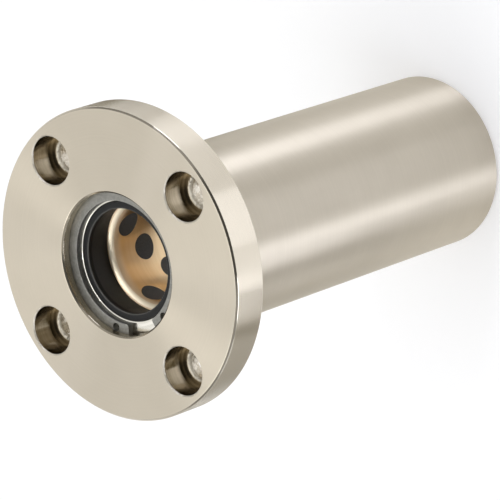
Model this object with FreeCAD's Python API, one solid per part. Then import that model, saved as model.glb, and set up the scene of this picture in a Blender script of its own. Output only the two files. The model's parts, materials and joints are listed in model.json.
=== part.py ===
"""Flanged oil-free bushing for a 16 mm shaft, sealed and retained at both ends.

Millimetres. The origin is the centre of the flange's seating face on the bore axis.
+Z leaves the flange's front face, and the barrel hangs below the seating face.
"""
import FreeCAD, Part
import math
import os
from collections import namedtuple

# Housing: a round flange and a plain barrel turned from one bar
overall_length = 75.0
flange_diameter = 48.0
flange_thickness = 6.0
flange_edge_chamfer = 0.3
barrel_diameter = 28.0
barrel_end_chamfer = 0.5
bore_mouth_chamfer = 0.3

# Screw holes in the flange, counterbored for socket heads
screw_count = 4
screw_circle_diameter = 38.0
screw_first_angle = 45.0
screw_hole_diameter = 4.5
counterbore_diameter = 7.5
counterbore_depth = 4.1
counterbore_mouth_chamfer = 0.2

# Bronze bushes, one pressed in from each end
shaft_diameter = 16.0
bush_outer_diameter = 22.0
bush_length = 25.0
bush_edge_radius = 0.9

# Graphite plugs in rows round each bush, every row turned on from the one before
plug_diameter = 4.0
plug_row_count = 6
plugs_per_row = 4
plug_row_margin = 3.4
plug_first_angle = 163.4
plug_row_turn = 32.5

# Shaft seals: a pressed case of L section with a rubber lip bonded inside
seal_width = 5.0
seal_case_wall = 0.6
seal_window_diameter = 18.3
lip_clearance = 0.05
lip_edge_radius = 0.25
lip_land = 0.8
lip_relief = 0.8

# Internal retaining rings of even section, with a plier hole near each end
ring_inset = 1.5
ring_thickness = 1.0
ring_inner_diameter = 19.0
ring_groove_diameter = 23.0
ring_groove_play = 0.1
ring_gap_angle = 31.0
ring_gap_centre = -68.0
ring_hole_diameter = 1.25
ring_hole_from_end = 14.0

# Radii and levels worked out from the sizes above
shaft_radius = shaft_diameter / 2
bore_radius = bush_outer_diameter / 2
barrel_radius = barrel_diameter / 2
flange_radius = flange_diameter / 2
groove_radius = ring_groove_diameter / 2
lip_radius = shaft_radius + lip_clearance
seal_depth = ring_inset + ring_thickness
bush_depth = seal_depth + seal_width
barrel_end = flange_thickness - overall_length
axis = FreeCAD.Vector(0, 0, 1)
origin = FreeCAD.Vector(0, 0, 0)

# Both ends are alike: depths are measured inwards from the end's own face
End = namedtuple("End", "name face inward")
front = End("front", flange_thickness, -1)
rear = End("rear", barrel_end, 1)


def at(end, radius, depth):
    """A point of a section, at a radius and at a depth inwards from an end face."""
    return FreeCAD.Vector(radius, 0, end.face + end.inward * depth)


def line(start, finish):
    return Part.LineSegment(start, finish).toShape()


def polygon(points):
    """The straight edges through the points, in order."""
    return [line(points[i], points[i + 1]) for i in range(len(points) - 1)]


def rounded(start, corner, finish):
    """A quarter-round edge between two points, bulging towards the corner."""
    centre = start + finish - corner
    middle = centre + (corner - centre).normalize() * (start - centre).Length
    return Part.Arc(start, middle, finish).toShape()


def turned(edges):
    """The solid that a closed section makes when it is turned about the bore axis."""
    return Part.Face(Part.Wire(edges)).revolve(origin, axis, 360)


def radial(radius, angle, height):
    """The point at a radius, an angle in degrees and a height."""
    turn = math.radians(angle)
    return FreeCAD.Vector(radius * math.cos(turn), radius * math.sin(turn), height)


def bore_section(end):
    """One end of the bore, from its mouth chamfer to behind the retaining ring's groove."""
    groove_end = ring_inset + ring_thickness + ring_groove_play
    return [
        at(end, bore_radius + bore_mouth_chamfer, 0),
        at(end, bore_radius, bore_mouth_chamfer),
        at(end, bore_radius, ring_inset),
        at(end, groove_radius, ring_inset),
        at(end, groove_radius, groove_end),
        at(end, bore_radius, groove_end),
    ]


def make_housing():
    """The turned housing, drilled and counterbored for its screws."""
    inside = bore_section(front) + bore_section(rear)[::-1]
    outside = [
        at(rear, barrel_radius - barrel_end_chamfer, 0),
        at(rear, barrel_radius, barrel_end_chamfer),
        FreeCAD.Vector(barrel_radius, 0, 0),
        FreeCAD.Vector(flange_radius - flange_edge_chamfer, 0, 0),
        FreeCAD.Vector(flange_radius, 0, flange_edge_chamfer),
        at(front, flange_radius, flange_edge_chamfer),
        at(front, flange_radius - flange_edge_chamfer, 0),
    ]
    body = turned(polygon(inside + outside + inside[:1]))
    return body.cut(Part.makeCompound([screw_hole(i) for i in range(screw_count)]))


def screw_hole(index):
    """What one screw hole takes out: the through hole, its counterbore and the bevel at the mouth."""
    hole_radius = screw_hole_diameter / 2
    head_radius = counterbore_diameter / 2
    section = [
        FreeCAD.Vector(0, 0, 0),
        FreeCAD.Vector(hole_radius, 0, 0),
        at(front, hole_radius, counterbore_depth),
        at(front, head_radius, counterbore_depth),
        at(front, head_radius, counterbore_mouth_chamfer),
        at(front, head_radius + counterbore_mouth_chamfer, 0),
        at(front, 0, 0),
    ]
    hole = turned(polygon(section + section[:1]))
    angle = screw_first_angle + index * 360 / screw_count
    hole.translate(radial(screw_circle_diameter / 2, angle, 0))
    return hole


def plug_blank(end, row, place):
    """The radial drilling for one plug, from inside the bore to outside the bush."""
    row_pitch = (bush_length - 2 * plug_row_margin) / (plug_row_count - 1)
    depth = bush_depth + plug_row_margin + row * row_pitch
    angle = plug_first_angle + row * plug_row_turn + place * 360 / plugs_per_row
    height = end.face + end.inward * depth
    outwards = radial(1, angle, 0)
    return Part.makeCylinder(plug_diameter / 2, barrel_radius, radial(0, angle, height), outwards)


def make_plugs(end):
    """The plugs of one bush, ground flush with its bore and its outside, by row and place."""
    wall = Part.makeCylinder(bore_radius, overall_length, at(rear, 0, 0), axis)
    wall = wall.cut(Part.makeCylinder(shaft_radius, overall_length, at(rear, 0, 0), axis))
    return {
        f"{end.name}_plug_{row + 1}_{place + 1}": plug_blank(end, row, place).common(wall)
        for row in range(plug_row_count)
        for place in range(plugs_per_row)
    }


def make_bush(end):
    """A bronze bush with rounded bore edges, drilled for its plugs."""
    near = bush_depth
    far = bush_depth + bush_length
    eased = shaft_radius + bush_edge_radius
    edges = polygon([
        at(end, eased, near),
        at(end, bore_radius, near),
        at(end, bore_radius, far),
        at(end, eased, far),
    ])
    edges.append(rounded(at(end, eased, far), at(end, shaft_radius, far),
                         at(end, shaft_radius, far - bush_edge_radius)))
    edges.append(line(at(end, shaft_radius, far - bush_edge_radius),
                      at(end, shaft_radius, near + bush_edge_radius)))
    edges.append(rounded(at(end, shaft_radius, near + bush_edge_radius), at(end, shaft_radius, near),
                         at(end, eased, near)))
    drillings = [
        plug_blank(end, row, place)
        for row in range(plug_row_count)
        for place in range(plugs_per_row)
    ]
    return turned(edges).cut(Part.makeCompound(drillings))


def make_seal_case(end):
    """The pressed case: a flat front ring turned down into a sleeve."""
    window_radius = seal_window_diameter / 2
    back = seal_depth + seal_width
    sleeve_radius = bore_radius - seal_case_wall
    section = [
        at(end, window_radius, seal_depth),
        at(end, bore_radius, seal_depth),
        at(end, bore_radius, back),
        at(end, sleeve_radius, back),
        at(end, sleeve_radius, seal_depth + seal_case_wall),
        at(end, window_radius, seal_depth + seal_case_wall),
    ]
    return turned(polygon(section + section[:1]))


def make_seal_lip(end):
    """The rubber inside the case: a rounded lip at the front, relieved behind it."""
    window_radius = seal_window_diameter / 2
    back = seal_depth + seal_width
    sleeve_radius = bore_radius - seal_case_wall
    edge_start = at(end, lip_radius + lip_edge_radius, seal_depth)
    edge_end = at(end, lip_radius, seal_depth + lip_edge_radius)
    edges = polygon([
        edge_end,
        at(end, lip_radius, seal_depth + lip_land),
        at(end, lip_radius + lip_relief, back),
        at(end, sleeve_radius, back),
        at(end, sleeve_radius, seal_depth + seal_case_wall),
        at(end, window_radius, seal_depth + seal_case_wall),
        at(end, window_radius, seal_depth),
        edge_start,
    ])
    edges.append(rounded(edge_start, at(end, lip_radius, seal_depth), edge_end))
    return turned(edges)


def make_retaining_ring(end):
    """A flat open ring sprung into its groove, with a plier hole near each end."""
    inner_radius = ring_inner_diameter / 2
    middle_radius = (inner_radius + groove_radius) / 2
    low = min(at(end, 0, ring_inset).z, at(end, 0, seal_depth).z)
    swept = 360 - ring_gap_angle
    start = ring_gap_centre + ring_gap_angle / 2
    corner = radial(inner_radius, start, low)
    along = radial(1, start, 0) * (groove_radius - inner_radius)
    side = axis * ring_thickness
    blank = Part.Face(Part.makePolygon([corner, corner + along, corner + along + side, corner + side, corner]))
    ring = blank.revolve(origin, axis, swept)
    holes = [
        Part.makeCylinder(ring_hole_diameter / 2, ring_thickness, radial(middle_radius, angle, low), axis)
        for angle in (start + ring_hole_from_end, start + swept - ring_hole_from_end)
    ]
    return ring.cut(Part.makeCompound(holes))


pieces = {"housing": make_housing()}
for end in (front, rear):
    pieces[f"{end.name}_bush"] = make_bush(end)
    pieces.update(make_plugs(end))
    pieces[f"{end.name}_seal_case"] = make_seal_case(end)
    pieces[f"{end.name}_seal_lip"] = make_seal_lip(end)
    pieces[f"{end.name}_retaining_ring"] = make_retaining_ring(end)

os.makedirs("parts", exist_ok=True)
for name, shape in pieces.items():
    shape.exportStep(f"parts/{name}.step")
    print(name, "solids", len(shape.Solids), "valid", shape.isValid(), "volume", round(shape.Volume, 2))
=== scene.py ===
# %% [markdown]
# # A flanged oil-free bushing
#
# This is a guide bushing for a 16 mm shaft. A steel housing with a round flange and a long barrel is turned from
# one bar and plated with nickel. Inside it, at each end, sit a retaining ring, a shaft seal and a bronze bush with
# graphite plugs that keep the shaft slippery without oil. CAD has settled every size and place. Here each piece is
# drawn again with the small broken edges that catch the light, and gets the finish of its real material.

# %% Load the frame
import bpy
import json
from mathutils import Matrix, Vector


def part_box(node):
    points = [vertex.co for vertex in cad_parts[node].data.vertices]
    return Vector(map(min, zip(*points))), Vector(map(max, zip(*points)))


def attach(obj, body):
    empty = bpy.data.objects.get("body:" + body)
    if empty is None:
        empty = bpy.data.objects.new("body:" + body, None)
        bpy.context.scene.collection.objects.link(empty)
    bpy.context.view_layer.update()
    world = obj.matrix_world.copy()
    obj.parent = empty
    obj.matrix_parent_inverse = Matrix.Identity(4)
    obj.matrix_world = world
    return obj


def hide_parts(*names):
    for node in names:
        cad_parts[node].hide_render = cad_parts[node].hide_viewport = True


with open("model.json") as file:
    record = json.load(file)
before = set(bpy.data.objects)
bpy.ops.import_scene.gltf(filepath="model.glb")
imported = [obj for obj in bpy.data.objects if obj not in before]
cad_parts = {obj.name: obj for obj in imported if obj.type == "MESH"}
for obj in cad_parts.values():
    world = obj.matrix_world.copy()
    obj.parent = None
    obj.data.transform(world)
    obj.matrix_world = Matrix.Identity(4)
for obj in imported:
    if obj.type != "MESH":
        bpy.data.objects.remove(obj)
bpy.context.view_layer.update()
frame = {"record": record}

# %% [markdown]
# ## Sizes
#
# Blender works in metres, a turner in millimetres. All sizes below are in millimetres, and `MM` turns them into
# metres where a mesh is made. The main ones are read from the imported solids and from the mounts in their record, so
# they can't drift away from CAD. The small ones that a box or a mount doesn't show are named where they are needed.

# %% Names, units and sizes
import json
import math
import bmesh
import bpy
from mathutils import Color, Quaternion, Vector

MM = 0.001


def reach(node):
    """A turned node's outer radius, and its lowest and highest level, in millimetres."""
    low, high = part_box(node)
    return high.x / MM, low.z / MM, high.z / MM


mounts = {mount["name"]: mount["dims"] for mount in frame["record"]["mounts"]}
shaft_radius = mounts["shaft_bore"]["r_mm"]
barrel_radius = mounts["barrel"]["r_mm"]
screw_circle_radius = mounts["screws"]["pcd_mm"] / 2
screw_count = mounts["screws"]["count"]
screw_hole_radius = mounts["screws"]["hole_r_mm"]
flange_radius, barrel_end, flange_front = reach("housing")
bore_radius, bush_low, bush_high = reach("front_bush")
groove_radius, ring_low, ring_high = reach("front_retaining_ring")
bush_length = bush_high - bush_low
bush_depth = flange_front - bush_high
ring_depth = flange_front - ring_high
seal_depth = flange_front - ring_low
print("flange radius", round(flange_radius, 3), "barrel end", round(barrel_end, 3), "bush depth", round(bush_depth, 3))

# %% [markdown]
# ## Camera
#
# The photograph was taken with a long lens from above the flange, with the barrel running away to the right. The
# camera looks from a direction given by its azimuth and elevation, and is rolled about its own line of sight, which
# lays the upright bushing on its side in the picture.

# %% Place the camera
def towards(azimuth, elevation=0.0):
    """The unit vector towards an azimuth and an elevation in degrees."""
    around, up = math.radians(azimuth), math.radians(elevation)
    return Vector((math.cos(around) * math.cos(up), math.sin(around) * math.cos(up), math.sin(up)))


def stand(name, data):
    """A new object in the scene, at the origin."""
    made = bpy.data.objects.new(name, data)
    bpy.context.scene.collection.objects.link(made)
    return made


camera_target = Vector((11.829, 1.032, -10.728))
camera_distance = 542.506
camera_azimuth = 26.357
camera_elevation = 45.866
camera_roll = math.radians(-108.971)
lens_length = 260.948
sensor_width = 36.0
nearest_seen = 10.0
towards_camera = towards(camera_azimuth, camera_elevation)

camera = stand("camera", bpy.data.cameras.new("camera"))
bpy.context.scene.camera = camera
camera.data.lens = lens_length
camera.data.sensor_width = sensor_width
camera.data.clip_start = nearest_seen * MM
camera.location = (camera_target + towards_camera * camera_distance) * MM
camera.rotation_mode = "QUATERNION"
camera.rotation_quaternion = (-towards_camera).to_track_quat("-Z", "Y") @ Quaternion((0, 0, 1), camera_roll)
print("camera at", [round(value / MM, 1) for value in camera.location], "mm")

# %% [markdown]
# ## Adding nodes
#
# Materials and Geometry Nodes trees are both made of nodes, so one small function adds a node of either kind: its
# settings are given by name, and each input gets a value or a link from another node's output. A new material comes
# with its shader, so feeding the inputs is a step of its own, which the shader shares. Colours are written as they
# look on a screen and turned into the linear values that a renderer needs.

# %% Helpers for nodes and colours
def feed(tree, node, inputs):
    """Gives inputs, by name or number, a value each, or the output socket that they are linked from."""
    for key, value in inputs.items():
        if isinstance(value, bpy.types.NodeSocket):
            tree.links.new(value, node.inputs[key])
        else:
            node.inputs[key].default_value = value


def add(tree, kind, inputs=None, **settings):
    """Adds a node with its settings, and feeds its inputs."""
    made = tree.nodes.new(kind)
    for name, value in settings.items():
        setattr(made, name, value)
    feed(tree, made, inputs or {})
    return made


def linear(colour):
    """An sRGB hex colour as linear red, green, blue and alpha."""
    screen = Color([int(colour[i:i + 2], 16) / 255 for i in (1, 3, 5)])
    return (*screen.from_srgb_to_scene_linear(), 1.0)


def new_material(name):
    """A new material, its node tree and its one shader."""
    material = bpy.data.materials.new(name)
    material.use_nodes = True
    return material, material.node_tree, material.node_tree.nodes["Principled BSDF"]


print("a screen's middle grey is", round(linear("#808080")[0], 3), "in linear light")

# %% [markdown]
# ## The mark of the lathe
#
# A turned surface carries fine grooves that run round the axis. They are the same all the way round, so the pattern
# needs only two coordinates: how far a point is from the axis, and how high it is. On a flat face the grooves follow
# the first one and on a barrel the second. A cross product with the axis gives the direction along the grooves,
# which the shader needs to spread its highlight across them.
#
# Walls, chamfers and rounded edges get a finish of their own. They are found by their slope. The squared height of
# the normal is 1 on a flat face and 0 on an upright wall, and its product with what is missing to 1 is largest where
# the surface leans at 45 degrees.

# %% Coordinates on a turned surface
def turned_coordinates(tree, place):
    """Sockets with (distance from the axis, height), and with the direction along the grooves, at a place."""
    flat = add(tree, "ShaderNodeVectorMath", {0: place, 1: (1, 1, 0)}, operation="MULTIPLY").outputs[0]
    distance = add(tree, "ShaderNodeVectorMath", {0: flat}, operation="LENGTH").outputs["Value"]
    height = add(tree, "ShaderNodeSeparateXYZ", {0: place}).outputs["Z"]
    section = add(tree, "ShaderNodeCombineXYZ", {"X": distance, "Y": height}).outputs[0]
    along = add(tree, "ShaderNodeVectorMath", {0: (0, 0, 1), 1: place}, operation="CROSS_PRODUCT").outputs[0]
    return section, along


def slopes(tree, full=0.2):
    """Sockets that are 1 where the surface stands upright, and where it leans. A lower full widens the second."""
    normal = add(tree, "ShaderNodeNewGeometry").outputs["Normal"]
    up = add(tree, "ShaderNodeSeparateXYZ", {0: normal}).outputs["Z"]
    flat = add(tree, "ShaderNodeMath", {0: up, 1: up}, operation="MULTIPLY").outputs[0]
    upright = add(tree, "ShaderNodeMath", {0: 1.0, 1: flat}, operation="SUBTRACT").outputs[0]
    both = add(tree, "ShaderNodeMath", {0: flat, 1: upright}, operation="MULTIPLY").outputs[0]
    return upright, add(tree, "ShaderNodeMapRange", {"Value": both, "From Max": full}).outputs[0]


# %% [markdown]
# ## Nickel plate
#
# The housing is turned steel under a few hundredths of a millimetre of nickel, a warm, slightly yellow metal. The
# plate follows the turning grooves below it, so the surface is satin: sharp along the grooves and spread out across
# them. The feed of the tool is about a tenth of a millimetre, which is finer than a pixel, so the marks are drawn at
# a third of a millimetre. Faint clouds of a few millimetres are what the plating bath leaves. The rim of the flange
# is finished smoother, and the chamfers are cut with the finest feed. The fine bored wall in the bore and its groove
# are painted browner and darker than the face, which is painted shade of the bore.

# %% Nickel plate on turned steel
TURNING_MARK = 0.3
PLATING_CLOUD = 6.0
TURNED_ROUGHNESS = (0.435, 0.465)
BORED_ROUGHNESS = 0.22
RIM_ROUGHNESS = 0.26
CHAMFER_ROUGHNESS = 0.12
NOISE_RANGE = (0.3, 0.7)
TWO_NOISES_RANGE = (0.7, 1.3)
ACROSS_GROOVES = 0.25
bore_margin = 0.1
rim_margin = 0.05

nickel, tree, shader = new_material("satin_nickel_plate_on_turned_steel")
place = add(tree, "ShaderNodeTexCoord").outputs["Object"]
section, along = turned_coordinates(tree, place)
marks = add(tree, "ShaderNodeTexNoise",
            {"Vector": section, "Scale": 1 / (TURNING_MARK * MM), "Detail": 3.0, "Roughness": 0.6},
            noise_dimensions="2D").outputs[0]
clouds = add(tree, "ShaderNodeTexNoise",
             {"Vector": place, "Scale": 1 / (PLATING_CLOUD * MM), "Detail": 4.0}).outputs[0]
both = add(tree, "ShaderNodeMath", {0: marks, 1: clouds}, operation="ADD").outputs[0]
uneven = add(tree, "ShaderNodeMapRange",
             {"Value": both, "From Min": TWO_NOISES_RANGE[0], "From Max": TWO_NOISES_RANGE[1]}).outputs[0]
tone = add(tree, "ShaderNodeValToRGB", {"Fac": uneven})
for stop, colour in zip(tone.color_ramp.elements, ("#CFC6B5", "#D4CBBA")):
    stop.color = linear(colour)
turned = add(tree, "ShaderNodeMapRange", {
    "Value": marks, "From Min": NOISE_RANGE[0], "From Max": NOISE_RANGE[1],
    "To Min": TURNED_ROUGHNESS[0], "To Max": TURNED_ROUGHNESS[1]}).outputs[0]
distance = add(tree, "ShaderNodeSeparateXYZ", {0: section}).outputs["X"]
upright, chamfer = slopes(tree)
inside = add(tree, "ShaderNodeMath",
             {0: distance, 1: (groove_radius + bore_margin) * MM}, operation="LESS_THAN").outputs[0]
wall = add(tree, "ShaderNodeMath", {0: inside, 1: upright}, operation="MULTIPLY").outputs[0]
# Painted shade: the bored wall and its groove are drawn in a browner, darker colour than the plate outside.
plate = add(tree, "ShaderNodeMix", {"Factor": wall, "A": tone.outputs[0], "B": linear("#C4B9A2")}, data_type="RGBA")
bored = add(tree, "ShaderNodeMapRange", {"Value": wall, "To Min": turned, "To Max": BORED_ROUGHNESS}).outputs[0]
rim = add(tree, "ShaderNodeMath",
          {0: distance, 1: (flange_radius - rim_margin) * MM}, operation="GREATER_THAN").outputs[0]
smoothed = add(tree, "ShaderNodeMapRange", {"Value": rim, "To Min": bored, "To Max": RIM_ROUGHNESS}).outputs[0]
roughness = add(tree, "ShaderNodeMapRange",
                {"Value": chamfer, "To Min": smoothed, "To Max": CHAMFER_ROUGHNESS}).outputs[0]
feed(tree, shader, {
    "Base Color": plate.outputs["Result"], "Roughness": roughness, "Metallic": 1.0,
    "Anisotropic": 0.92, "Anisotropic Rotation": ACROSS_GROOVES, "Tangent": along,
})
print("made", nickel.name)

# %% [markdown]
# ## Nickel in the screw holes
#
# The counterbores are cut by a piloted cutter that turns about each hole's own axis. It leaves clear rings on the
# floor of the hole, drawn coarser than they are so that they show, and a smoother wall than the lathe does. The
# metal in the holes is painted darker and browner, which is painted shade of the holes. The broken edges are matt and
# painted pale, which is a painted highlight, and so are patches in the rough drilled hole below. A bump roughens both.
# The four holes mirror each other, so taking the size of x and of y folds them all onto one, and the rings are drawn
# about its axis.

# %% Nickel plate on counterbored steel
CUTTER_MARK = 0.4
CUTTER_RING_DEPTH = 0.02
PLATE_PATCH = 0.6
PLATE_PATCH_DEPTH = 0.2
PATCH_EDGE = (0.4, 0.6)
BARE_PATCH = 0.3
CUT_ROUGHNESS = (0.14, 0.26)
MATT_ROUGHNESS = 0.5
throat_margin = 0.1
hole_offset = screw_circle_radius / math.sqrt(2) * MM

hole_nickel, tree, shader = new_material("thin_nickel_plate_on_counterbored_steel")
place = add(tree, "ShaderNodeTexCoord").outputs["Object"]
quarter = add(tree, "ShaderNodeVectorMath", {0: place}, operation="SIGN").outputs[0]
folded = add(tree, "ShaderNodeVectorMath", {0: place, 1: quarter}, operation="MULTIPLY").outputs[0]
local = add(tree, "ShaderNodeVectorMath", {0: folded, 1: (hole_offset, hole_offset, 0)},
            operation="SUBTRACT").outputs[0]
section, along = turned_coordinates(tree, local)
unfolded = add(tree, "ShaderNodeVectorMath", {0: along, 1: quarter}, operation="MULTIPLY").outputs[0]
marks = add(tree, "ShaderNodeTexNoise",
            {"Vector": section, "Scale": 1 / (CUTTER_MARK * MM), "Detail": 3.0, "Roughness": 0.7},
            noise_dimensions="2D").outputs[0]
# Painted shade: the metal in the holes gets darker, browner colours than the housing's plate.
tone = add(tree, "ShaderNodeValToRGB", {"Fac": marks})
for stop, position, colour in zip(tone.color_ramp.elements, NOISE_RANGE, ("#857860", "#AA9E88")):
    stop.position = position
    stop.color = linear(colour)
_, bevel = slopes(tree)
distance = add(tree, "ShaderNodeSeparateXYZ", {0: section}).outputs["X"]
throat = add(tree, "ShaderNodeMath",
             {0: distance, 1: (screw_hole_radius + throat_margin) * MM}, operation="LESS_THAN").outputs[0]
uneven = add(tree, "ShaderNodeTexNoise",
             {"Vector": place, "Scale": 1 / (PLATE_PATCH * MM), "Detail": 2.0, "Roughness": 0.7}).outputs[0]
patches = add(tree, "ShaderNodeMapRange", {
    "Value": uneven, "From Min": PATCH_EDGE[0], "From Max": PATCH_EDGE[1], "To Min": BARE_PATCH}).outputs[0]
patchy = add(tree, "ShaderNodeMath", {0: throat, 1: patches}, operation="MULTIPLY").outputs[0]
matt = add(tree, "ShaderNodeMath", {0: bevel, 1: patchy}, operation="MAXIMUM").outputs[0]
# Painted highlight: the broken edges and the patches in the drilled hole are painted pale.
plate = add(tree, "ShaderNodeMix", {"Factor": matt, "A": tone.outputs[0], "B": linear("#E6DFD0")}, data_type="RGBA")
cut = add(tree, "ShaderNodeMapRange", {
    "Value": marks, "From Min": NOISE_RANGE[0], "From Max": NOISE_RANGE[1],
    "To Min": CUT_ROUGHNESS[0], "To Max": CUT_ROUGHNESS[1]}).outputs[0]
roughness = add(tree, "ShaderNodeMapRange", {"Value": matt, "To Min": cut, "To Max": MATT_ROUGHNESS}).outputs[0]
rings = add(tree, "ShaderNodeBump",
            {"Height": marks, "Strength": 0.6, "Distance": CUTTER_RING_DEPTH * MM}).outputs[0]
relief = add(tree, "ShaderNodeBump", {
    "Height": uneven, "Strength": matt, "Distance": PLATE_PATCH_DEPTH * MM, "Normal": rings}).outputs[0]
feed(tree, shader, {
    "Base Color": plate.outputs["Result"], "Roughness": roughness, "Metallic": 1.0, "Normal": relief,
    "Anisotropic": 0.6, "Anisotropic Rotation": ACROSS_GROOVES, "Tangent": unfolded,
})
print("made", hole_nickel.name)

# %% [markdown]
# ## Bronze
#
# The bushes are cast bronze, bored and reamed. The reamer leaves fine lines round the bore, which are too fine to show
# and so are drawn over half a millimetre apart. The metal is a pale gold that turns browner each time the bore
# reflects itself, and near the mouths, where air and hands reach it, it is tarnished as well. The rounded edges are
# rubbed matt by the shafts that were pushed in, and painted pale as a painted highlight. Both fade out a little way
# into the bore.

# %% Reamed bronze
REAMING_LINE = 0.6
TARNISH_REACH = 9.0
RUB_AND_PAINTED_HIGHLIGHT_REACH = 2.6
INWARD_PAINTED_HIGHLIGHT = 0.5
REAMED_ROUGHNESS = 0.28
RUBBED_ROUGHNESS = 0.6
middle_level = (flange_front + barrel_end) / 2
bush_reach = bush_high - middle_level
bush_edge = 0.9

bronze, tree, shader = new_material("reamed_cast_bronze")
place = add(tree, "ShaderNodeTexCoord").outputs["Object"]
section, along = turned_coordinates(tree, place)
marks = add(tree, "ShaderNodeTexNoise",
            {"Vector": section, "Scale": 1 / (REAMING_LINE * MM), "Detail": 3.0, "Roughness": 0.6},
            noise_dimensions="2D").outputs[0]
tone = add(tree, "ShaderNodeValToRGB", {"Fac": marks})
for stop, position, colour in zip(tone.color_ramp.elements, NOISE_RANGE, ("#D6BE9A", "#E0CAA7")):
    stop.position = position
    stop.color = linear(colour)
height = add(tree, "ShaderNodeSeparateXYZ", {0: section}).outputs["Y"]
above = add(tree, "ShaderNodeMath", {0: height, 1: middle_level * MM}, operation="SUBTRACT").outputs[0]
away = add(tree, "ShaderNodeMath", {0: above}, operation="ABSOLUTE").outputs[0]
mouth = add(tree, "ShaderNodeMapRange", {
    "Value": away, "From Min": (bush_reach - TARNISH_REACH) * MM, "From Max": bush_reach * MM}).outputs[0]
aged = add(tree, "ShaderNodeMix", {"Factor": mouth, "A": tone.outputs[0], "B": linear("#D3B084")}, data_type="RGBA")
_, edge = slopes(tree, full=0.1)
inwards = add(tree, "ShaderNodeMapRange", {
    "Value": away, "From Min": (bush_reach - RUB_AND_PAINTED_HIGHLIGHT_REACH) * MM, "From Max": (bush_reach - bush_edge) * MM},
    interpolation_type="SMOOTHSTEP").outputs[0]
rubbed = add(tree, "ShaderNodeMath", {0: edge, 1: inwards}, operation="MAXIMUM").outputs[0]
# Painted highlight: the rounded edges are painted pale, and the paint fades to half a little way into the bore.
inward_painted_highlight = add(tree, "ShaderNodeMath", {0: inwards, 1: INWARD_PAINTED_HIGHLIGHT}, operation="MULTIPLY").outputs[0]
edge_painted_highlight = add(tree, "ShaderNodeMath", {0: edge, 1: inward_painted_highlight}, operation="MAXIMUM").outputs[0]
bronze_with_painted_highlight = add(tree, "ShaderNodeMix",
           {"Factor": edge_painted_highlight, "A": aged.outputs["Result"], "B": linear("#EBE0CA")}, data_type="RGBA")
roughness = add(tree, "ShaderNodeMapRange",
                {"Value": rubbed, "To Min": REAMED_ROUGHNESS, "To Max": RUBBED_ROUGHNESS}).outputs[0]
feed(tree, shader, {
    "Base Color": bronze_with_painted_highlight.outputs["Result"], "Roughness": roughness, "Metallic": 1.0,
    "Anisotropic": 0.5, "Anisotropic Rotation": ACROSS_GROOVES, "Tangent": along,
})
print("made", bronze.name)

# %% [markdown]
# ## Graphite
#
# The plugs are pressed graphite, bored flush with the bronze. Graphite is a dark grey, and the cut leaves it matt
# with a faint sheen. Its grain is too fine to show, so it is drawn a few times coarser.

# %% Pressed graphite
GRAPHITE_GRAIN = 0.15
GRAIN_RANGE = (0.35, 0.65)

graphite, tree, shader = new_material("pressed_graphite")
place = add(tree, "ShaderNodeTexCoord").outputs["Object"]
grain = add(tree, "ShaderNodeTexNoise",
            {"Vector": place, "Scale": 1 / (GRAPHITE_GRAIN * MM), "Detail": 4.0}).outputs[0]
tone = add(tree, "ShaderNodeValToRGB", {"Fac": grain})
for stop, position, colour in zip(tone.color_ramp.elements, GRAIN_RANGE, ("#292A2C", "#3B3C3F")):
    stop.position = position
    stop.color = linear(colour)
roughness = add(tree, "ShaderNodeMapRange", {"Value": grain, "To Min": 0.45, "To Max": 0.65}).outputs[0]
feed(tree, shader, {"Base Color": tone.outputs[0], "Roughness": roughness})
print("made", graphite.name)

# %% [markdown]
# ## Pressed steel
#
# The seal's case is bright cold-rolled strip, pressed to shape. It is whiter and smoother than the plated housing
# and mirrors what is near it, with faint draw lines round the axis. They are too fine to show, so they are drawn
# nearly half a millimetre apart.

# %% Bright pressed steel
DRAW_LINE = 0.4

case_steel, tree, shader = new_material("bright_pressed_steel")
place = add(tree, "ShaderNodeTexCoord").outputs["Object"]
section, _ = turned_coordinates(tree, place)
marks = add(tree, "ShaderNodeTexNoise",
            {"Vector": section, "Scale": 1 / (DRAW_LINE * MM), "Detail": 2.0},
            noise_dimensions="2D").outputs[0]
tone = add(tree, "ShaderNodeValToRGB", {"Fac": marks})
for stop, position, colour in zip(tone.color_ramp.elements, NOISE_RANGE, ("#D8D5CB", "#E6E3DA")):
    stop.position = position
    stop.color = linear(colour)
roughness = add(tree, "ShaderNodeMapRange", {"Value": marks, "To Min": 0.14, "To Max": 0.22}).outputs[0]
feed(tree, shader, {"Base Color": tone.outputs[0], "Roughness": roughness, "Metallic": 1.0})
print("made", case_steel.name)

# %% [markdown]
# ## Rubber
#
# The seal's lip is moulded nitrile rubber filled with carbon black. It is nearly black, with a dull surface and a
# very fine unevenness, drawn at half a millimetre so that it shows at all. Its rounded edges are painted greyer, which
# is a painted highlight.

# %% Moulded nitrile rubber
RUBBER_GRAIN = 0.5

rubber, tree, shader = new_material("moulded_nitrile_rubber")
place = add(tree, "ShaderNodeTexCoord").outputs["Object"]
_, edge = slopes(tree)
# Painted highlight: the lip's rounded edges are painted grey, the rest of the rubber nearly black.
tone = add(tree, "ShaderNodeValToRGB", {"Fac": edge})
for stop, colour in zip(tone.color_ramp.elements, ("#0E0E0E", "#3E3D3A")):
    stop.color = linear(colour)
grain = add(tree, "ShaderNodeTexNoise",
            {"Vector": place, "Scale": 1 / (RUBBER_GRAIN * MM), "Detail": 3.0}).outputs[0]
roughness = add(tree, "ShaderNodeMapRange", {"Value": grain, "To Min": 0.5, "To Max": 0.62}).outputs[0]
feed(tree, shader, {"Base Color": tone.outputs[0], "Roughness": roughness, "Specular IOR Level": 0.25})
print("made", rubber.name)

# %% [markdown]
# ## Spring steel
#
# The retaining rings are stamped from spring steel, tumbled and lightly oiled. They are a neutral grey with a satin
# surface and short scratches from tumbling, drawn wider than they are so that they show.

# %% Tumbled spring steel
SCRATCH = 0.6

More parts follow.
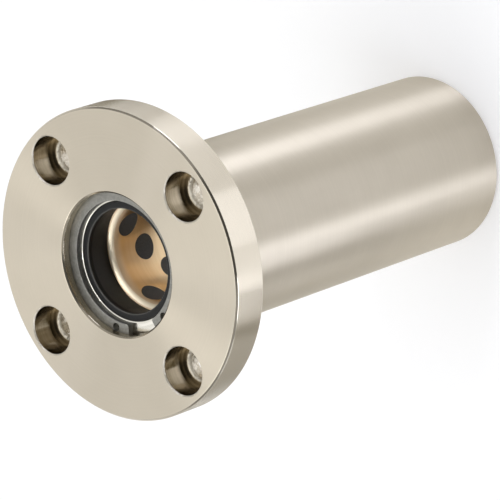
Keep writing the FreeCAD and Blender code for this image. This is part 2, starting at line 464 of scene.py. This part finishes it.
spring_steel, tree, shader = new_material("tumbled_spring_steel")
place = add(tree, "ShaderNodeTexCoord").outputs["Object"]
scratches = add(tree, "ShaderNodeTexNoise",
                {"Vector": place, "Scale": 1 / (SCRATCH * MM), "Detail": 5.0, "Distortion": 1.0}).outputs[0]
tone = add(tree, "ShaderNodeValToRGB", {"Fac": scratches})
for stop, position, colour in zip(tone.color_ramp.elements, GRAIN_RANGE, ("#81807B", "#93928C")):
    stop.position = position
    stop.color = linear(colour)
roughness = add(tree, "ShaderNodeMapRange", {"Value": scratches, "To Min": 0.4, "To Max": 0.55}).outputs[0]
feed(tree, shader, {"Base Color": tone.outputs[0], "Roughness": roughness, "Metallic": 0.8})
print("made", spring_steel.name)

# %% [markdown]
# ## Turning a section
#
# Most of the pieces are bodies of revolution. Blender has a Screw modifier and a Spin tool for them, but a few lines
# of mesh code close the seam by themselves and put points exactly where they are needed. A section is a list of
# corners, each with the length over which it is eased. A round replaces each corner, and a point a little way beyond
# the round keeps the flat beside it true when the shading is smoothed.

# %% Helpers for turned pieces
TURN_STEPS = 192
ROUND_STEP = math.radians(15)
SHARP_FROM = math.radians(30)
FLAT_GUARD = 1.4
BROKEN_EDGE = 0.06
SAME_PLACE = 1e-8


def eased(section):
    """The points of a closed section of corners (radius, height, ease), each corner rounded over its ease."""
    points = []
    for i, (*place, ease) in enumerate(section):
        corner = Vector(place)
        if ease == 0:
            points.append(corner)
            continue
        back = (Vector(section[i - 1][:2]) - corner).normalized()
        on = (Vector(section[(i + 1) % len(section)][:2]) - corner).normalized()
        opening = back.angle(on)
        centre = corner + (back + on).normalized() * ease / math.cos(opening / 2)
        start = corner + back * ease - centre
        finish = corner + on * ease - centre
        steps = math.ceil((math.pi - opening) / ROUND_STEP)
        points.append(corner + back * ease * FLAT_GUARD)
        points += [centre + start.slerp(finish, step / steps) * start.length for step in range(steps + 1)]
        points.append(corner + on * ease * FLAT_GUARD)
    return points


def turn(name, section, material=None, steps=TURN_STEPS):
    """The closed mesh that a section makes when it is turned once round the Z axis."""
    made = bmesh.new()
    rings = [
        [made.verts.new((point.x * math.cos(angle) * MM, point.x * math.sin(angle) * MM, point.y * MM))
         for point in eased(section)]
        for angle in (step * math.tau / steps for step in range(steps))
    ]
    for here, there in zip(rings, rings[1:] + rings[:1]):
        for i in range(len(here)):
            made.faces.new((here[i - 1], here[i], there[i], there[i - 1]))
    bmesh.ops.remove_doubles(made, verts=made.verts, dist=SAME_PLACE)
    bmesh.ops.recalc_face_normals(made, faces=made.faces)
    mesh = bpy.data.meshes.new(name)
    made.to_mesh(mesh)
    made.free()
    if material:
        mesh.materials.append(material)
    return mesh


def shaded(mesh):
    """An object of a finished mesh, smooth between its sharp edges."""
    mesh.shade_smooth()
    mesh.set_sharp_from_angle(angle=SHARP_FROM)
    return stand(mesh.name, mesh)


def put(mesh, slot, *nodes):
    """Stands a finished mesh in the scene, in place of the CAD nodes that it redraws."""
    piece = shaded(mesh)
    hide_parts(*nodes)
    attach(piece, "root")
    print(piece.name, "stands for", len(nodes), "node(s) with", len(mesh.polygons), "faces")


# %% [markdown]
# ## Both ends
#
# The two ends of the bushing hold the same things. A section is easier to write as depths measured inwards from an
# end face, so one function turns such a depth into a height, for the flange end and for the barrel end.

# %% Depths from an end face
ends = {"front": (flange_front, -1), "rear": (barrel_end, 1)}


def at(end, radius, depth, ease=BROKEN_EDGE):
    """A corner of a section at a depth inwards from an end face."""
    face, inward = ends[end]
    return radius, face + inward * depth, ease


print("the bushes start at", [round(at(end, bore_radius, bush_depth)[1], 3) for end in ends], "mm")

# %% [markdown]
# ## Trees that make a mesh
#
# What repeats is left to Geometry Nodes. A tree gets named inputs, so the same tree can be used again with other
# sizes. The helper sets each input by its identifier, evaluates the tree once, and keeps the result as a plain mesh.

# %% Helpers for Geometry Nodes
def new_tree(name, inputs):
    """A Geometry Nodes tree with named inputs, given as {name: kind of socket}, and its two end nodes."""
    made = bpy.data.node_groups.new(name, "GeometryNodeTree")
    made.interface.new_socket("Mesh", in_out="OUTPUT", socket_type="NodeSocketGeometry")
    for label, kind in inputs.items():
        made.interface.new_socket(label, in_out="INPUT", socket_type=f"NodeSocket{kind}")
    return made, made.nodes.new("NodeGroupInput").outputs, made.nodes.new("NodeGroupOutput").inputs


def grow(name, mesh, tree, values):
    """The plain mesh that a tree makes of a mesh, without empty material slots."""
    carrier = stand(name, mesh)
    modifier = carrier.modifiers.new("tree", "NODES")
    modifier.node_group = tree
    for socket in tree.interface.items_tree:
        if socket.name in values:
            modifier[socket.identifier] = values[socket.name]
    evaluated = carrier.evaluated_get(bpy.context.evaluated_depsgraph_get())
    grown = bpy.data.meshes.new_from_object(evaluated)
    bpy.data.objects.remove(carrier)
    grown.name = name
    for slot in reversed(range(len(grown.materials))):
        if grown.materials[slot] is None:
            grown.materials.pop(index=slot)
    return grown


# %% [markdown]
# ## Housing
#
# The housing is one turned section: the flange, the barrel, and a bore with a groove for a retaining ring near each
# end. Its four screw holes are drilled and counterbored so that the screw heads sink in, and the edge between the
# two widths is broken generously. The holes lie evenly on a circle, so a tree puts a cutter on each point of that
# circle and subtracts them all at once.

# %% Turn the housing
flange_chamfer = 0.3
barrel_chamfer = 0.5
mouth_chamfer = 0.3
groove_edge = 0.15
groove_play = 0.1
groove_far = seal_depth + groove_play


def bore_section(end):
    """One end of the bore, from its mouth to behind the groove."""
    return [
        at(end, bore_radius + mouth_chamfer, 0),
        at(end, bore_radius, mouth_chamfer),
        at(end, bore_radius, ring_depth, groove_edge),
        at(end, groove_radius, ring_depth),
        at(end, groove_radius, groove_far),
        at(end, bore_radius, groove_far),
    ]


outside = [
    at("rear", barrel_radius - barrel_chamfer, 0),
    at("rear", barrel_radius, barrel_chamfer),
    (barrel_radius, 0, BROKEN_EDGE),
    (flange_radius - flange_chamfer, 0, BROKEN_EDGE),
    (flange_radius, flange_chamfer, BROKEN_EDGE),
    at("front", flange_radius, flange_chamfer),
    at("front", flange_radius - flange_chamfer, 0),
]
housing = turn("housing_blank", bore_section("front") + bore_section("rear")[::-1] + outside)
print("the blank has", len(housing.polygons), "faces")

# %% Drill the screw holes
counterbore_radius = 3.75
counterbore_depth = 4.1
counterbore_chamfer = 0.2
drilled_edge = 0.7
screw_first_angle = math.radians(45)
cutter_margin = 1.0
CUTTER_STEPS = 72

cutter = bpy.data.objects.new("screw_hole", turn("screw_hole", [
    at("front", 0, flange_front + cutter_margin, 0),
    at("front", screw_hole_radius, flange_front + cutter_margin, 0),
    at("front", screw_hole_radius, counterbore_depth, drilled_edge),
    at("front", counterbore_radius, counterbore_depth, 0),
    at("front", counterbore_radius, counterbore_chamfer),
    at("front", counterbore_radius + counterbore_chamfer + cutter_margin, -cutter_margin, 0),
    at("front", 0, -cutter_margin, 0),
], steps=CUTTER_STEPS))

tree, given, result = new_tree("holes_on_a_circle", {
    "Body": "Geometry", "Cutter": "Object", "Count": "Int", "Circle radius": "Float", "First angle": "Float",
    "Finish": "Material", "Hole finish": "Material",
})
circle = add(tree, "GeometryNodeMeshCircle", {"Vertices": given["Count"], "Radius": given["Circle radius"]})
first = add(tree, "ShaderNodeCombineXYZ", {"Z": given["First angle"]})
places = add(tree, "GeometryNodeTransform", {"Geometry": circle.outputs[0], "Rotation": first.outputs[0]})
shape = add(tree, "GeometryNodeObjectInfo", {"Object": given["Cutter"]})
marked = add(tree, "GeometryNodeStoreNamedAttribute",
             {"Geometry": shape.outputs["Geometry"], "Name": "drilled", "Value": True},
             data_type="BOOLEAN", domain="FACE")
cutters = add(tree, "GeometryNodeInstanceOnPoints", {"Points": places.outputs[0], "Instance": marked.outputs[0]})
solid = add(tree, "GeometryNodeRealizeInstances", {0: cutters.outputs[0]})
cut = add(tree, "GeometryNodeMeshBoolean", {0: given["Body"], 1: solid.outputs[0]},
          operation="DIFFERENCE", solver="EXACT")
plated = add(tree, "GeometryNodeSetMaterial", {"Geometry": cut.outputs[0], "Material": given["Finish"]})
drilled = add(tree, "GeometryNodeInputNamedAttribute", {"Name": "drilled"}, data_type="BOOLEAN")
finished = add(tree, "GeometryNodeSetMaterial", {
    "Geometry": plated.outputs[0], "Selection": drilled.outputs["Attribute"], "Material": given["Hole finish"]})
tree.links.new(finished.outputs[0], result[0])

housing = grow("plated_housing", housing, tree, {
    "Cutter": cutter, "Count": screw_count, "Circle radius": screw_circle_radius * MM,
    "First angle": screw_first_angle, "Finish": nickel, "Hole finish": hole_nickel,
})
bpy.data.objects.remove(cutter)
put(housing, "nickel_plated_steel", "housing")
print("finishes", [material.name for material in housing.materials],
      "faces in holes", sum(face.material_index == len(housing.materials) - 1 for face in housing.polygons))

# %% [markdown]
# ## Bushes and plugs
#
# A bush is a short bronze tube with generously rounded bore edges. Its plugs sit in rows round the wall, and every
# row is turned on from the one before, so that together they sweep the whole shaft. The tree counts through the
# points, works out each one's row and place, and stands a radial cylinder there. Subtracted from the bush the
# cylinders are its holes, and what they share with the wall is the plugs.

# %% The pattern of plugs
plug_radius = 2.0
plug_rows = 6
plugs_in_row = 4
row_margin = 3.4
first_plug_angle = math.radians(163.4)
row_turn = math.radians(32.5)
row_pitch = (bush_length - 2 * row_margin) / (plug_rows - 1)
drilling_inside = 2.0
drilling_outside = 1.0
drilling_start = shaft_radius - drilling_inside
drilling_length = bore_radius + drilling_outside - drilling_start
PLUG_STEPS = 64


def plug_tree(operation):
    """The tree that drills a body for its plugs, or with INTERSECT keeps what fills the drillings."""
    tree, given, result = new_tree("plugs_" + operation.lower(), {
        "Body": "Geometry", "Rows": "Int", "Plugs in a row": "Int", "First level": "Float", "Row pitch": "Float",
        "First angle": "Float", "Row turn": "Float", "Plug radius": "Float", "Drilling start": "Float",
        "Drilling length": "Float", "Finish": "Material",
    })
    count = add(tree, "ShaderNodeMath",
                {0: given["Rows"], 1: given["Plugs in a row"]}, operation="MULTIPLY").outputs[0]
    step = add(tree, "ShaderNodeMath", {0: math.tau, 1: given["Plugs in a row"]}, operation="DIVIDE").outputs[0]
    index = add(tree, "GeometryNodeInputIndex").outputs[0]
    part = add(tree, "ShaderNodeMath", {0: index, 1: given["Plugs in a row"]}, operation="DIVIDE").outputs[0]
    row = add(tree, "ShaderNodeMath", {0: part}, operation="FLOOR").outputs[0]
    level = add(tree, "ShaderNodeMath", {0: row, 1: given["Row pitch"], 2: given["First level"]},
                operation="MULTIPLY_ADD").outputs[0]
    turned = add(tree, "ShaderNodeMath", {0: row, 1: given["Row turn"], 2: given["First angle"]},
                 operation="MULTIPLY_ADD").outputs[0]
    angle = add(tree, "ShaderNodeMath", {0: index, 1: step, 2: turned}, operation="MULTIPLY_ADD").outputs[0]
    place = add(tree, "ShaderNodeCombineXYZ", {"Z": level}).outputs[0]
    facing = add(tree, "ShaderNodeCombineXYZ", {"Y": math.pi / 2, "Z": angle}).outputs[0]
    points = add(tree, "GeometryNodePoints", {"Count": count, "Position": place})
    rod = add(tree, "GeometryNodeMeshCylinder",
              {"Vertices": PLUG_STEPS, "Radius": given["Plug radius"], "Depth": given["Drilling length"]})
    middle = add(tree, "ShaderNodeMath", {0: given["Drilling length"], 1: 0.5, 2: given["Drilling start"]},
                 operation="MULTIPLY_ADD").outputs[0]
    outwards = add(tree, "ShaderNodeCombineXYZ", {"Z": middle}).outputs[0]
    radial = add(tree, "GeometryNodeTransform", {"Geometry": rod.outputs[0], "Translation": outwards})
    rods = add(tree, "GeometryNodeInstanceOnPoints",
               {"Points": points.outputs[0], "Instance": radial.outputs[0], "Rotation": facing})
    solid = add(tree, "GeometryNodeRealizeInstances", {0: rods.outputs[0]})
    met = add(tree, "GeometryNodeMeshBoolean", {1: solid.outputs[0]}, operation=operation, solver="EXACT")
    tree.links.new(given["Body"], met.inputs[0 if operation == "DIFFERENCE" else 1])
    finished = add(tree, "GeometryNodeSetMaterial", {"Geometry": met.outputs[0], "Material": given["Finish"]})
    tree.links.new(finished.outputs[0], result[0])
    return tree


drill, fill = plug_tree("DIFFERENCE"), plug_tree("INTERSECT")
print("the plug trees have", len(drill.nodes), "nodes each")

# %% Make the bushes and their plugs
plug_recess = 0.02
BORE_RINGS = 24

for end in ends:
    near, far = bush_depth, bush_depth + bush_length
    rings = [at(end, shaft_radius, far - bush_length * i / BORE_RINGS, 0) for i in range(2, BORE_RINGS - 1)]
    tube = turn("bush_blank", [
        at(end, shaft_radius, near, bush_edge),
        at(end, bore_radius, near),
        at(end, bore_radius, far),
        at(end, shaft_radius, far, bush_edge),
        *rings,
    ])
    wall = turn("plug_blank", [
        at(end, shaft_radius + plug_recess, near, 0),
        at(end, bore_radius, near, 0),
        at(end, bore_radius, far, 0),
        at(end, shaft_radius + plug_recess, far, 0),
    ])
    face, inward = ends[end]
    pattern = {
        "Rows": plug_rows, "Plugs in a row": plugs_in_row,
        "First level": (face + inward * (bush_depth + row_margin)) * MM, "Row pitch": inward * row_pitch * MM,
        "First angle": first_plug_angle, "Row turn": row_turn, "Plug radius": plug_radius * MM,
        "Drilling start": drilling_start * MM, "Drilling length": drilling_length * MM,
    }
    bush = grow(f"{end}_bronze_bush", tube, drill, {**pattern, "Finish": bronze})
    plugs = grow(f"{end}_graphite_plugs", wall, fill, {**pattern, "Finish": graphite})
    put(bush, "bronze", f"{end}_bush")
    put(plugs, "graphite", *(
        f"{end}_plug_{row + 1}_{place + 1}" for row in range(plug_rows) for place in range(plugs_in_row)))

# %% [markdown]
# ## Seals
#
# A shaft seal is a pressed steel case with a rubber lip bonded inside. The case is a flat ring bent down into a
# sleeve, with a tight outer bend and a rolled inner edge. The lip has a rounded edge where it meets the shaft, and is
# cut away behind it so that it can flex.

# %% Make the seals
case_wall = 0.6
case_bend = 0.1
case_lip = 0.3
case_window = 9.15
lip_clearance = 0.05
lip_radius = shaft_radius + lip_clearance
lip_round = 0.25
lip_land = 0.8
lip_relief = 0.8
sleeve_radius = bore_radius - case_wall

for end in ends:
    case = turn(f"{end}_pressed_case", [
        at(end, case_window, seal_depth, case_lip),
        at(end, bore_radius, seal_depth, case_bend),
        at(end, bore_radius, bush_depth),
        at(end, sleeve_radius, bush_depth),
        at(end, sleeve_radius, seal_depth + case_wall),
        at(end, case_window, seal_depth + case_wall),
    ], case_steel)
    lip = turn(f"{end}_rubber_lip", [
        at(end, lip_radius, seal_depth, lip_round),
        at(end, lip_radius, seal_depth + lip_land),
        at(end, lip_radius + lip_relief, bush_depth),
        at(end, sleeve_radius, bush_depth),
        at(end, sleeve_radius, seal_depth + case_wall),
        at(end, case_window, seal_depth + case_wall),
        at(end, case_window, seal_depth),
    ], rubber)
    put(case, "seal_case_steel", f"{end}_seal_case")
    put(lip, "nitrile_rubber", f"{end}_seal_lip")

# %% [markdown]
# ## Retaining rings
#
# The rings are stamped flat: an open band with a plier hole near each end. A flat curve is the natural tool, since
# Blender fills it, gives it a thickness and rounds its edges in one step. The outline runs along the outer edge and
# back along the inner one, with rounded corners at the two ends, and two small circles inside it become the holes.

# %% Make the retaining rings
ring_inner = 9.5
ring_gap = math.radians(31)
ring_gap_centre = math.radians(-68)
plier_hole_radius = 0.625
plier_hole_from_end = math.radians(14)
ring_corner = 0.3
RING_STEPS = 150
HOLE_STEPS = 40
EDGE_STEPS = 2


def arc(radius, start, swept, steps, centre=Vector((0, 0))):
    """Points along an arc, from one end to the other."""
    return [centre + Vector((math.cos(start + swept * i / steps), math.sin(start + swept * i / steps))) * radius
            for i in range(steps + 1)]


ring_start = ring_gap_centre + ring_gap / 2
ring_swept = math.tau - ring_gap
outer = arc(groove_radius, ring_start, ring_swept, RING_STEPS)
inner = arc(ring_inner, ring_start, ring_swept, RING_STEPS)[::-1]
outline = [(*point, 0) for point in outer + inner]
for i in (0, RING_STEPS, RING_STEPS + 1, -1):
    outline[i] = (*outline[i][:2], ring_corner)
splines = [eased(outline)]
for angle in (ring_start + plier_hole_from_end, ring_start + ring_swept - plier_hole_from_end):
    middle = Vector((math.cos(angle), math.sin(angle))) * (ring_inner + groove_radius) / 2
    splines.append(arc(plier_hole_radius, 0, math.tau, HOLE_STEPS, middle)[:-1])

for end in ends:
    _, level, _ = at(end, 0, (ring_depth + seal_depth) / 2)
    stamping = bpy.data.curves.new("ring_stamping", "CURVE")
    stamping.dimensions = "2D"
    stamping.fill_mode = "BOTH"
    stamping.extrude = (ring_high - ring_low) / 2 * MM - BROKEN_EDGE * MM
    stamping.bevel_depth = BROKEN_EDGE * MM
    stamping.bevel_resolution = EDGE_STEPS
    stamping.offset = -BROKEN_EDGE * MM
    for points in splines:
        spline = stamping.splines.new("POLY")
        spline.points.add(len(points) - 1)
        spline.use_cyclic_u = True
        for target, point in zip(spline.points, points):
            target.co = (point.x * MM, point.y * MM, 0, 1)
    carrier = bpy.data.objects.new("ring_stamping", stamping)
    ring = bpy.data.meshes.new_from_object(carrier)
    ring.name = f"{end}_stamped_ring"
    bpy.data.objects.remove(carrier)
    for vertex in ring.vertices:
        vertex.co.z += level * MM
    ring.materials.append(spring_steel)
    put(ring, "spring_steel", f"{end}_retaining_ring")

# %% [markdown]
# ## Floor
#
# The bushing stands on white studio paper that curves up far behind it, so that no edge shows from any side. The
# paper takes the object's shadow. A little light of its own, which only the camera and the mirror-like surfaces see,
# lifts it to the clean white of a product picture without lighting anything else.

# %% White paper floor
paper_reach = 1400.0
paper_rise = 250.0
paper_curve = 200.0
paper_thickness = 5.0
PAPER_LIFT = 0.26

paper, tree, shader = new_material("white_studio_paper")
ray = add(tree, "ShaderNodeLightPath").outputs
seen = add(tree, "ShaderNodeMath", {0: ray["Is Camera Ray"], 1: ray["Is Glossy Ray"]}, operation="MAXIMUM").outputs[0]
seen = add(tree, "ShaderNodeMath", {0: seen, 1: ray["Is Transmission Ray"]}, operation="MAXIMUM").outputs[0]
lift = add(tree, "ShaderNodeMath", {0: seen, 1: PAPER_LIFT}, operation="MULTIPLY").outputs[0]
feed(tree, shader, {
    "Base Color": linear("#E7E7E7"), "Roughness": 1.0, "Specular IOR Level": 0.0,
    "Emission Color": linear("#FFFFFF"), "Emission Strength": lift,
})

floor = shaded(turn("studio_floor", [
    (0, barrel_end, 0),
    (paper_reach, barrel_end, paper_curve),
    (paper_reach + paper_curve, barrel_end + paper_rise, 0),
    (paper_reach + paper_curve, barrel_end - paper_thickness, 0),
    (0, barrel_end - paper_thickness, 0),
], paper))
print("the floor lies at", round(barrel_end, 3), "mm")

# %% [markdown]
# ## Sky
#
# Polished metal shows what stands around it, so the studio matters as much as the metal. A wide soft glow comes from
# above and behind, which the flange's face mirrors. The room behind the camera is dim, and that draws the dark lines
# along the chamfers that look straight back at the lens. Both are patches of one sky: a dot product tells how near a
# direction is to the middle of the patch, and a smooth step gives it a soft edge.

# %% Sky
SKY_BASE = 0.16
SKY_GLOW = 1.0
CAMERA_SIDE = 0.2
GLOW_EDGE = (0.2, 0.9)
CAMERA_SIDE_EDGE = (0.78, 0.94)
glow_azimuth = -154
glow_elevation = 70
towards_glow = towards(glow_azimuth, glow_elevation)

world = bpy.data.worlds.new("studio")
bpy.context.scene.world = world
world.use_nodes = True
tree = world.node_tree
direction = add(tree, "ShaderNodeTexCoord").outputs["Generated"]
to_glow = add(tree, "ShaderNodeVectorMath", {0: direction, 1: towards_glow}, operation="DOT_PRODUCT").outputs["Value"]
glow = add(tree, "ShaderNodeMapRange", {
    "Value": to_glow, "From Min": GLOW_EDGE[0], "From Max": GLOW_EDGE[1],
    "To Min": SKY_BASE, "To Max": SKY_BASE + SKY_GLOW}, interpolation_type="SMOOTHSTEP").outputs[0]
to_lens = add(tree, "ShaderNodeVectorMath",
              {0: direction, 1: towards_camera}, operation="DOT_PRODUCT").outputs["Value"]
dimming = add(tree, "ShaderNodeMapRange", {
    "Value": to_lens, "From Min": CAMERA_SIDE_EDGE[0], "From Max": CAMERA_SIDE_EDGE[1],
    "To Min": 1.0, "To Max": CAMERA_SIDE}, interpolation_type="SMOOTHSTEP").outputs[0]
strength = add(tree, "ShaderNodeMath", {0: glow, 1: dimming}, operation="MULTIPLY").outputs[0]
feed(tree, tree.nodes["Background"], {"Color": linear("#FFFFFF"), "Strength": strength})
print("sky from", SKY_BASE, "to", SKY_BASE + SKY_GLOW)

# %% [markdown]
# ## Soft lamps
#
# Two tall strips beside the bushing give the bright bands down its barrel. A dimmer one beside the right strip lets
# its band fade out slowly, and two low ones in front brighten the flange's rim. A large lamp overhead and a panel at
# the side even out the face. Area lamps suit all of them. A lamp is given by how bright it looks, because that is what
# metal mirrors. Its power in watts follows from its area.

# %% Soft lamps
COOL_WHITE = "#E9EEFF"
flange_middle = Vector((0, 0, 0))


def hang(light, place, aim):
    """Stands a lamp at a place, facing a point, both in millimetres. The camera doesn't see the lamp itself."""
    made = stand(light.name, light)
    made.location = place * MM
    made.rotation_mode = "QUATERNION"
    made.rotation_quaternion = (aim - place).to_track_quat("-Z", "Y")
    made.visible_camera = False
    print(light.name, "of", round(light.energy, 4), "W")


def lamp(name, azimuth, distance, low, high, width, brightness, colour="#FFFFFF"):
    """A soft area lamp that faces the flange, between two heights above the floor at an azimuth in degrees."""
    light = bpy.data.lights.new(name, "AREA")
    light.shape = "RECTANGLE"
    light.size = width * MM
    light.size_y = (high - low) * MM
    light.energy = math.pi * brightness * light.size * light.size_y
    light.color = linear(colour)[:3]
    hang(light, towards(azimuth) * distance + Vector((0, 0, barrel_end + (low + high) / 2)), flange_middle)


lamp("left_strip", azimuth=92, distance=300, low=0, high=190, width=110, brightness=4.9, colour=COOL_WHITE)
lamp("right_strip", azimuth=-17, distance=300, low=0, high=150, width=140, brightness=5.2, colour=COOL_WHITE)
lamp("right_tail", azimuth=-54, distance=300, low=0, high=150, width=130, brightness=1.2, colour=COOL_WHITE)
lamp("low_strip_right", azimuth=-3, distance=98, low=0.5, high=16.5, width=50, brightness=0.7, colour=COOL_WHITE)
lamp("low_strip_left", azimuth=30, distance=98, low=0.5, high=16.5, width=62, brightness=1.8, colour=COOL_WHITE)
lamp("overhead", azimuth=26, distance=44, low=407, high=727, width=320, brightness=1.25)
lamp("side_panel", azimuth=-85, distance=283, low=252, high=452, width=200, brightness=1.4)

# %% [markdown]
# ## Light in the bore
#
# In the photograph light reaches the bore from both of its ends. From the front it rakes over the bush's rounded
# edge, which two snoots do here: spots with a beam so narrow that it passes the seal and touches nothing else. From
# the far end it climbs the polished wall, from bounce to bounce, and turns browner each time. Here the bushing stands
# on that end, so a small round lamp inside the bore, which faces up, brings that light back.

# %% Snoots and far light
snoot_aim = Vector((0, 0, flange_front - seal_depth))
snoot_distance = 500.0
snoot_reach = 7.5
snoot_radius = 3.0
snoot_elevation = 74
far_radius = 6.0
far_azimuth = 130
far_offset = 1.2
far_rise = 4.0
far_place = towards(far_azimuth) * far_offset + Vector((0, 0, bush_low + far_rise))
SNOOT_POWER = 14.0
SNOOT_BLEND = 0.2
FAR_BRIGHTNESS = 1.3

for name, azimuth in (("snoot_right", -66), ("snoot_left", 92)):
    light = bpy.data.lights.new(name, "SPOT")
    light.energy = SNOOT_POWER
    light.spot_size = 2 * math.atan(snoot_reach / snoot_distance)
    light.spot_blend = SNOOT_BLEND
    light.shadow_soft_size = snoot_radius * MM
    hang(light, snoot_aim + towards(azimuth, snoot_elevation) * snoot_distance, snoot_aim)

light = bpy.data.lights.new("far_end", "AREA")
light.shape = "DISK"
light.size = 2 * far_radius * MM
light.energy = math.pi * FAR_BRIGHTNESS * math.pi * (far_radius * MM) ** 2
hang(light, far_place, far_place + Vector((0, 0, 1)))

# %% [markdown]
# ## Cards
#
# A photographer shapes bright metal with dark cards as much as with lamps. These brownish grey ones stand round the
# bushing and darken parts of its rim, where the white floor would otherwise show. Only mirror-like surfaces see them,
# so they cast no shadow and don't show in any view.

# %% Dark cards
card_paper, tree, shader = new_material("grey_card")
feed(tree, shader, {"Base Color": linear("#6E6440"), "Roughness": 0.9})


def dark_card(name, azimuth, distance, width, height):
    """A card that stands on the floor across an azimuth in degrees."""
    foot = towards(azimuth) * distance + Vector((0, 0, barrel_end))
    side = towards(azimuth + 90) * width / 2
    top = Vector((0, 0, height))
    mesh = bpy.data.meshes.new(name)
    mesh.from_pydata([corner * MM for corner in (foot - side, foot + side, foot + side + top, foot - side + top)],
                     [], [(0, 1, 2, 3)])
    mesh.materials.append(card_paper)
    card = stand(name, mesh)
    card.visible_camera = False
    card.visible_shadow = False
    card.visible_diffuse = False
    print(name, "of", width, "by", height, "mm")


dark_card("card_right", azimuth=-67, distance=76, width=98, height=37)
dark_card("card_right_end", azimuth=-33, distance=66.5, width=46, height=33)
dark_card("card_left", azimuth=132, distance=73, width=36, height=12)
dark_card("card_left_end", azimuth=166, distance=62, width=50, height=34)
dark_card("card_far", azimuth=-128, distance=62, width=40, height=31)

# %% [markdown]
# ## Colour view
#
# The picture is shown as it is, with no film look.

# %% Finish
bpy.context.scene.view_settings.view_transform = "Standard"
